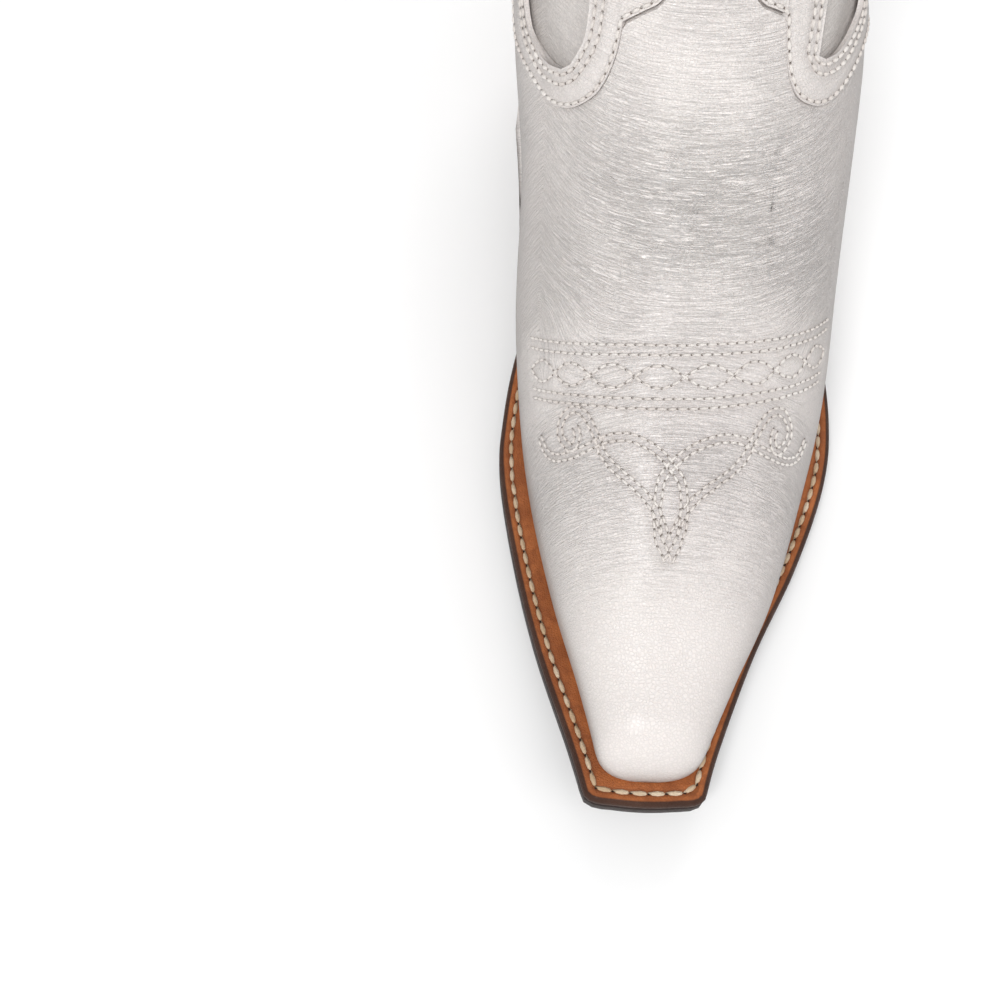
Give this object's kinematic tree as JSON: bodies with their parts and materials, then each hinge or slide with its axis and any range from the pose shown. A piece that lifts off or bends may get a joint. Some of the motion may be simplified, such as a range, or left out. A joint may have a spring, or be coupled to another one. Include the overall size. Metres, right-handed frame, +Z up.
{
  "type": "cowboy boot",
  "caption": "Left western boot with a narrow squared toe, lobed vamp, inlaid drop-shaped panels, stitched welt, stacked underslung heel and pull straps.",
  "frame": {"origin": "on the ground, under the middle of the boot's box", "axes": "+Z up, the toe points along -Y, the foot's inner side is -X"},
  "size_m": [0.1204, 0.2945, 0.371],
  "materials": {
    "upper_leather": "smooth full-grain, soft gloss",
    "lining_leather": "matt, unfinished",
    "stiffener_board": "matt fibre",
    "welt_leather": "burnished cognac, soft gloss",
    "sole_leather": "smooth bend leather, dark waxed edge",
    "heel_leather": "stacked and waxed",
    "heel_rubber": "matt",
    "filler_cork": "granular, matt",
    "shank_steel": "plain",
    "nail_brass": "plain",
    "peg_wood": "plain",
    "welt_thread": "waxed thread"
  },
  "bodies": {
    "root": {"vamp": "upper_leather", "shaft_front": "upper_leather", "shaft_back": "upper_leather", "counter_cover": "upper_leather", "inlay_medial": "upper_leather", "inlay_lateral": "upper_leather", "side_piping_medial": "upper_leather", "side_piping_lateral": "upper_leather", "top_binding_front": "upper_leather", "top_binding_back": "upper_leather", "pull_strap_medial": "upper_leather", "pull_strap_lateral": "upper_leather", "vamp_lining": "lining_leather", "shaft_lining_front": "lining_leather", "shaft_lining_back": "lining_leather", "sock_lining": "lining_leather", "toe_box": "stiffener_board", "counter_stiffener": "stiffener_board", "insole": "stiffener_board", "welt": "welt_leather", "heel_rand": "welt_leather", "outsole": "sole_leather", "heel_lift_1": "heel_leather", "heel_lift_2": "heel_leather", "heel_lift_3": "heel_leather", "heel_lift_4": "heel_leather", "heel_cap": "heel_rubber", "cork_filler": "filler_cork", "shank": "shank_steel", "heel_nail_1": "nail_brass", "heel_nail_2": "nail_brass", "heel_nail_3": "nail_brass", "heel_nail_4": "nail_brass", "heel_nail_5": "nail_brass", "shank_peg_1": "peg_wood", "shank_peg_2": "peg_wood", "shank_peg_3": "peg_wood", "shank_peg_4": "peg_wood", "shank_peg_5": "peg_wood", "shank_peg_6": "peg_wood", "welt_thread": "welt_thread"}
  },
  "joints": []
}
